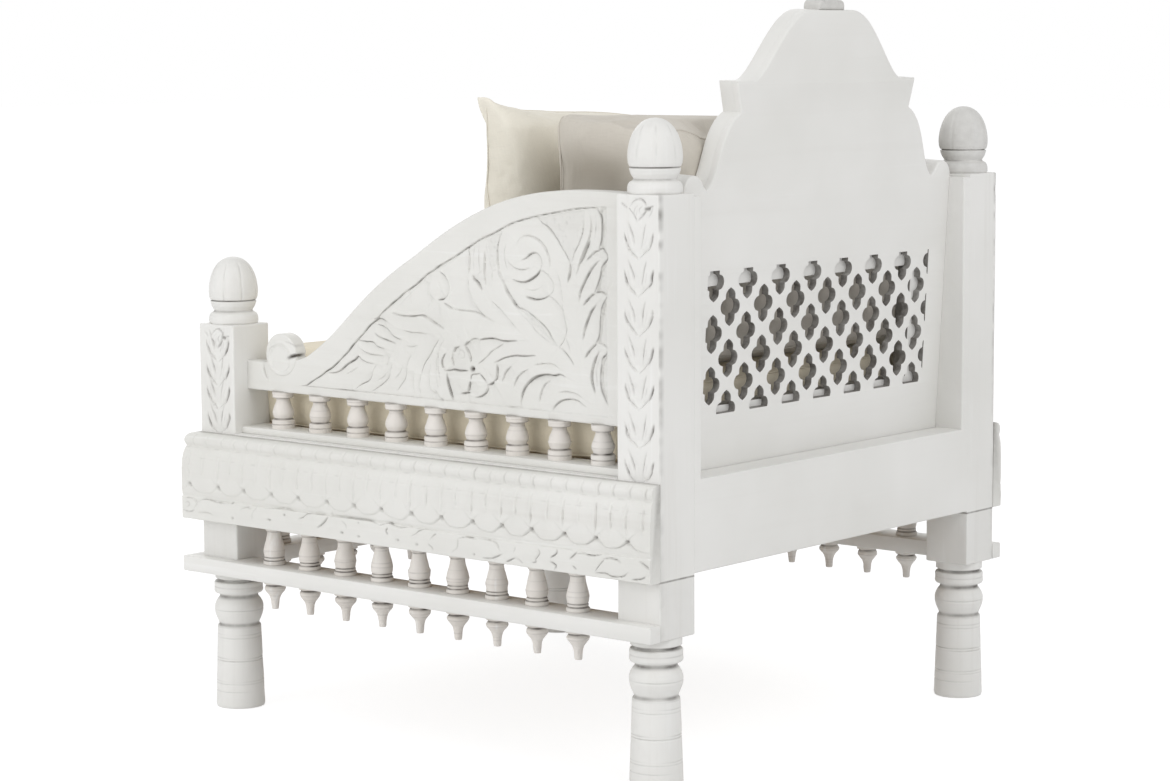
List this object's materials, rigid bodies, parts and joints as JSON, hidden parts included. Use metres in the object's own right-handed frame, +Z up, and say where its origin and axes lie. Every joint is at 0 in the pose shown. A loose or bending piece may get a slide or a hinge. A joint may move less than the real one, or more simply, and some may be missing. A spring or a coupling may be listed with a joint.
{
  "type": "carved armchair",
  "caption": "Low white-washed wooden armchair with turned legs, spindle galleries, carved scrolled arms, a pierced lattice back, a seat cushion, a back cushion and a throw pillow",
  "frame": {"origin": "on the floor, at the middle of the bounding box seen from above", "axes": "+Z up, the chair's front faces -Y and the sitter's left is +X"},
  "size_m": [0.76, 0.799, 0.9696],
  "materials": {
    "whitewashed_wood": "chalky white wash over carved hardwood, rubbed back on the edges and grey in the carving",
    "bare_wood": "unfinished sawn wood, hidden under the seat",
    "screw_steel": "zinc plated",
    "cotton": "plain beige cotton"
  },
  "bodies": {
    "frame": {"post_front_left": "whitewashed_wood", "post_front_right": "whitewashed_wood", "post_rear_left": "whitewashed_wood", "post_rear_right": "whitewashed_wood", "finial_front_left": "whitewashed_wood", "finial_front_right": "whitewashed_wood", "finial_rear_left": "whitewashed_wood", "finial_rear_right": "whitewashed_wood", "seat_rail_left": "bare_wood", "seat_rail_right": "bare_wood", "seat_rail_front": "bare_wood", "rear_apron": "whitewashed_wood", "frieze_left": "whitewashed_wood", "frieze_right": "whitewashed_wood", "frieze_front": "whitewashed_wood", "lower_rail_left": "whitewashed_wood", "lower_rail_right": "whitewashed_wood", "lower_rail_front": "whitewashed_wood", "lower_spindles_left": "whitewashed_wood", "lower_spindles_right": "whitewashed_wood", "lower_spindles_front": "whitewashed_wood", "drops_left": "whitewashed_wood", "drops_right": "whitewashed_wood", "drops_front": "whitewashed_wood", "gallery_strip_left": "whitewashed_wood", "gallery_strip_right": "whitewashed_wood", "gallery_spindles_left": "whitewashed_wood", "gallery_spindles_right": "whitewashed_wood", "arm_panel_left": "whitewashed_wood", "arm_panel_right": "whitewashed_wood", "back_lattice_board": "whitewashed_wood", "back_front_board": "whitewashed_wood", "back_batten_left": "whitewashed_wood", "back_batten_right": "whitewashed_wood", "crest_ornament": "whitewashed_wood", "seat_cleat_left": "bare_wood", "seat_cleat_right": "bare_wood", "seat_slat_1": "bare_wood", "seat_slat_2": "bare_wood", "seat_slat_3": "bare_wood", "seat_slat_4": "bare_wood", "seat_slat_5": "bare_wood", "seat_slat_6": "bare_wood", "seat_slat_7": "bare_wood", "seat_slat_8": "bare_wood", "corner_block_front_left": "bare_wood", "corner_block_front_right": "bare_wood", "corner_block_rear_left": "bare_wood", "corner_block_rear_right": "bare_wood", "slat_screws": "screw_steel", "cleat_screws": "screw_steel", "frieze_screws": "screw_steel", "back_screws": "screw_steel"},
    "seat_cushion": {"seat_cushion": "cotton"},
    "back_cushion": {"back_cushion": "cotton"},
    "throw_pillow": {"throw_pillow": "cotton"}
  },
  "joints": [
    {"name": "seat_cushion_lift", "type": "slide", "parent": "frame", "child": "seat_cushion", "axis": [0, 0, 1], "range_m": [0, 0.345]},
    {"name": "back_cushion_lift", "type": "slide", "parent": "seat_cushion", "child": "back_cushion", "axis": [0, 0, 1], "range_m": [0, 0.25]},
    {"name": "throw_pillow_lift", "type": "slide", "parent": "back_cushion", "child": "throw_pillow", "axis": [0, 0, 1], "range_m": [0, 0.25]}
  ]
}
